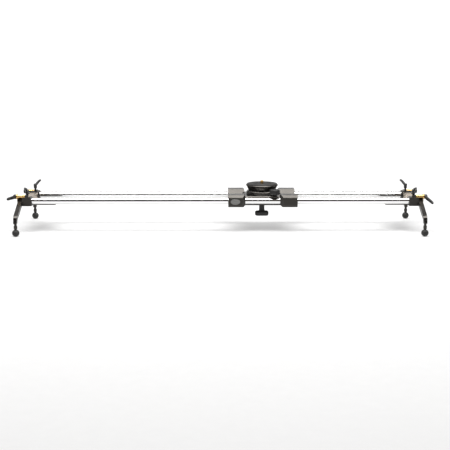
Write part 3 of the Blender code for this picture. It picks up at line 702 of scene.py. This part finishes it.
def bushings():
    """A ball bushing in each ear, with a rubber seal at its mouth."""
    inside, outside = RAIL_RADIUS + 0.35, BUSHING_RADIUS
    half = (EAR_END - DECK_HALF_LENGTH - 2.5) / 2
    for end, side in CORNERS:
        node = corner_name("ball_bushing", end, side)
        at = (CARRIAGE_X + end * (EAR_END - 1.2 - half), side * RAIL_Y, 0)
        out = (end, 0, 0)
        ring = [
            (inside + 1.2, half - 0.4),
            (inside, half - 1.4),
            (inside, -half),
            (outside, -half),
            (outside, half - 0.8),
            (outside - 0.8, half),
            (inside + 2.6, half),
            (inside + 2.6, half - 0.4),
        ]
        Shape().lathe(fillet(ring, 0.25, 3), at, out, 96, loop=True).make(
            node + "_ground", "bushing_steel", "carriage", [node]
        )
        seal = [
            (inside + 2.5, half - 0.3),
            (inside + 2.5, half + 0.5),
            (inside + 0.9, half + 0.7),
            (inside + 0.05, half + 0.1),
            (inside + 0.4, half - 0.3),
        ]
        Shape().lathe(seal, at, out, 96, loop=True).make(
            corner_name("bushing_seal", end, side), "black_rubber", "carriage"
        )


def bowl():
    """The levelling bowl and the screws that hold it from below."""
    at = (CARRIAGE_X, 0, 0)
    centre, inside, outside = SPHERE_ABOVE, BOWL_INSIDE, BOWL_OUTSIDE
    seat, flange, mouth = BOWL_SEAT, BOWL_FLANGE, 22.0
    rim = degrees(atan2(sqrt(inside**2 - (centre - flange) ** 2), centre - flange))
    under = degrees(atan2(sqrt(outside**2 - (centre - seat) ** 2), centre - seat))
    profile = [
        (45.6, flange),
        (49.0, flange - 3.4),
        (49.0, 17.2),
        (48.4, 16.6),
        (48.4, 16.2),
        (49.0, 15.6),
        (49.0, seat),
        *sphere_profile(outside, centre, under, degrees(asin(mouth / outside)), 20),
        *sphere_profile(inside, centre, degrees(asin(mouth / inside)), rim, 30),
    ]
    Shape().lathe(fillet(profile, 0.6, 4), at, UP, 144, loop=True).make(
        "bowl_turned", "black_anodised", "carriage", ["bowl"]
    )
    for i in range(6):
        angle = radians(60 * i + 30)
        x, y = BOWL_SCREW_RADIUS * cos(angle), BOWL_SCREW_RADIUS * sin(angle)
        spot = (CARRIAGE_X + x, y, BOWL_SCREW_ABOVE)
        screw_head(f"bowl_screw_{i + 1}", spot, DOWN, "carriage", 2.6, 1.9)


def half_ball():
    """The half ball with its camera plate, and the ribbed pad on top."""
    at = (CARRIAGE_X, 0, 0)
    start = degrees(asin(19 / BALL_SPHERE))
    bottom = SPHERE_ABOVE - BALL_SPHERE * cos(radians(start))
    profile = [
        (5.1, 43.6),
        (5.6, 44.4),
        (48.4, 44.4),
        (51.0, 41.9),
        (51.0, 40.8),
        (50.2, 40.2),
        *reversed(sphere_profile(BALL_SPHERE, SPHERE_ABOVE, start, 72, 36)),
        (18.2, bottom),
        (5.1, bottom),
    ]
    Shape().lathe(fillet(profile, 0.4, 3), at, UP, 144, loop=True).make(
        "half_ball_turned", "black_anodised", "half_ball", ["half_ball"]
    )

    ribs = []
    for i in range(14):
        radius = 44.5 - i * 2.4
        ribs += [(radius, 46.0), (radius - 1.1, 46.0), (radius - 1.3, 45.75), (radius - 2.2, 45.75)]
    pad = [(6.1, 44.7), (47.5, 44.7), (47.5, 45.6), (47.1, 46.0), *ribs, (6.6, 46.0), (6.1, 45.6)]
    Shape().lathe(pad, at, UP, 144, loop=True).make(
        "top_pad_ribbed", "black_rubber", "half_ball", ["top_pad"]
    )


def camera_stud():
    """The camera screw and the tie stud below it, in one brass piece.

    Both are plain between their end rings, so only each thread's run-out is cut.
    """
    stud = [
        (0.3, 55.5),
        (3.4, 55.5),
        (4.76, 54.4),
        (4.76, 46.4),
        (4.3, 46.0),
        (4.76, 45.4),
        (4.76, 28.0),
        (4.0, 28.0),
        (4.0, -6.0),
        (4.0, -6.4),
        (4.0, -30.0),
        (3.4, -30.6),
        (0.3, -30.6),
    ]
    upper, lower = thread(1.5875, 0.62, 46.6, 54.6), thread(1.25, 0.5, -30.2, -6.4)

    def both(radius, height, angle):
        return lower(upper(radius, height, angle), height, angle)

    Shape().lathe(stud, (CARRIAGE_X, 0, 0), UP, 48, both).make(
        "camera_stud_threaded", "brass", "half_ball", ["camera_stud"], sharp=75
    )


def t_handle():
    """The stem and the grip below the carriage.

    The stem is plain outside: the flutes reach only the floor of its bore.
    """
    top = SPHERE_ABOVE - WASHER_OUTSIDE - GAP
    stem = [
        (0.3, -30.0),
        (4.3, -30.0),
        (4.3, top),
        (8.0, top),
        (8.6, top - 0.8),
        (8.6, -10.5),
        (8.6, -36),
        (9.2, -39.5),
        (11.0, -43.0),
        (0.3, -48.0),
    ]
    shape = Shape()
    shape.lathe(stem, (CARRIAGE_X, 0, 0), UP, 96, flutes(16, 0.5, -35.5, -11.0))
    half_grip = [(21.5, 2.6, 2.6), (20.8, 5.4, 5.4), (18.6, 7.4, 7.6), (13, 8.4, 8.5)]
    grip = [(-x, wide, high) for x, wide, high in half_grip] + [(0, 8.5, 8.5)] + half_grip[::-1]
    path = [(CARRIAGE_X + x, 0, -49.5) for x, _, _ in grip]
    shape.sweep(path, [(wide, high) for _, wide, high in grip], UP, 48, 3.2)
    shape.make("t_handle_moulded", "black_plastic", "t_handle", ["t_handle"], sharp=60)


def brake():
    """The lobed knob over the front rod, and the pad that it presses."""
    at = (BRAKE_X, -RAIL_Y, 0)
    base = BRAKE_BASE
    flute_centre, flute_radius = 20.5, 6.0
    profile = [
        (0.3, base + 17.4),
        (5.0, base + 17.4),
        (5.6, base + 18.0),
        (12.5, base + 18.0),
        (15.7, base + 16.2),
        (16.5, base + 14.0),
        (16.5, base + 10.0),
        (16.5, base + 5.0),
        (13.0, base + 3.0),
        (9.0, base),
        (4.2, base),
        (4.2, 12.8),
        (0.3, 12.8),
    ]

    def flute(radius, height, angle):
        if radius < 8.5:
            return radius
        turn = (angle + pi / 6) % (pi / 3) - pi / 6
        across = flute_centre * sin(turn)
        if abs(across) >= flute_radius:
            return radius
        wall = flute_centre * cos(turn) - sqrt(flute_radius**2 - across**2)
        soft = 0.5
        blend = max(soft - abs(radius - wall), 0) / soft
        return min(radius, wall) - blend * blend * soft * 0.25

    Shape().lathe(fillet(profile, 0.9, 5), at, UP, 180, flute).make(
        "brake_knob_moulded", "black_plastic", "brake_knob", ["brake_knob"], sharp=50
    )
    pad = [(0.3, 12.5), (3.8, 12.5), (4.2, 12.1), (4.2, 10.1), (3.9, 9.85), (0.3, 9.85)]
    Shape().lathe(pad, at, UP, 40).make(
        "brake_pad_moulded", "black_plastic", "carriage", ["brake_pad"]
    )


def badge_rim():
    """A raised rim round the blank oval plate."""
    x, y, z = BADGE_CENTRE
    wide, high = BADGE_HALF_SIZE
    section = [(0.3, 0.25), (0.3, -0.25), (0.6, -0.4), (1.0, -0.4), (1.3, -0.25), (1.3, 0.25)]
    turns = [2 * pi * i / 72 for i in range(72)]
    rings = [
        [Vector((x + (wide - inset) * cos(a), y + depth, z + (high - inset) * sin(a))) for a in turns]
        for inset, depth in section
    ]
    Shape().ring_strip(rings, loop=True).make("badge_rim", "badge_metal", "carriage")


rails()
feet()
leg_clamps()
rail_clamps()
end_screws()
bushings()
bowl()
half_ball()
camera_stud()
t_handle()
brake()
badge_rim()


# ------------------------------------------------------------------ floor, light and camera


def backdrop():
    """A pale floor that curves up into a wall behind the object."""
    front, wall, radius, wide, tall = -7.0, 4.2, 0.9, 9.0, 1.3
    turns = [pi / 2 * i / 16 for i in range(17)]
    bend = [(wall - radius + radius * sin(a), radius - radius * cos(a)) for a in turns]
    line = [(front, 0.0), (-2.0, 0.0), (0.0, 0.0), *bend, (wall, tall)]
    mesh = bpy.data.meshes.new("backdrop")
    points = [(x, y, z) for y, z in line for x in (-wide, wide)]
    faces = [(2 * i, 2 * i + 1, 2 * i + 3, 2 * i + 2) for i in range(len(line) - 1)]
    mesh.from_pydata(points, [], faces)
    for face in mesh.polygons:
        face.use_smooth = True
    paint = Paint("backdrop_paper", Roughness=0.9, Metallic=0.0, Specular_IOR_Level=0.1)
    paint.shader.inputs["Emission Color"].default_value = (1.0, 1.0, 1.0, 1.0)
    paint.shader.inputs["Emission Strength"].default_value = 0.46
    fibre = paint.noise(40, 6, roughness=0.7)
    paint.link(paint.ramp(fibre, [(0.2, (0.38, 0.38, 0.38)), (0.8, (0.41, 0.41, 0.41))]), "Base Color")
    mesh.materials.append(paint.bump((fibre, 0.02, 0.5)))
    obj = bpy.data.objects.new("backdrop", mesh)
    bpy.context.scene.collection.objects.link(obj)


def softbox(name, size, location, target, power):
    light = bpy.data.lights.new(name, "AREA")
    light.shape = "RECTANGLE"
    light.size, light.size_y = size
    light.energy = power
    obj = bpy.data.objects.new(name, light)
    obj.location = location
    obj.rotation_euler = (Vector(target) - Vector(location)).to_track_quat("-Z", "Y").to_euler()
    bpy.context.scene.collection.objects.link(obj)


backdrop()
softbox("overhead", (3.6, 1.0), (0.0, -0.35, 2.3), (0.0, -0.05, 0.0), 125)
softbox("wall_light", (6.0, 1.2), (0.0, 1.9, 2.6), (0.0, 4.0, 0.5), 190)
world = bpy.data.worlds.new("room")
bpy.context.scene.world = world
world.use_nodes = True
world.node_tree.nodes["Background"].inputs["Color"].default_value = (1.0, 0.90, 0.82, 1)
world.node_tree.nodes["Background"].inputs["Strength"].default_value = 0.09

camera = bpy.data.cameras.new("camera")
camera.sensor_width = 36.0
camera.lens = 73.29
camera_object = bpy.data.objects.new("camera", camera)
camera_object.location = (0.0029, -2.8673, 0.5585)
camera_object.rotation_euler = (radians(90 - 10.89), 0, radians(-0.227))
bpy.context.scene.collection.objects.link(camera_object)
bpy.context.scene.camera = camera_object
bpy.context.scene.view_settings.view_transform = "Standard"
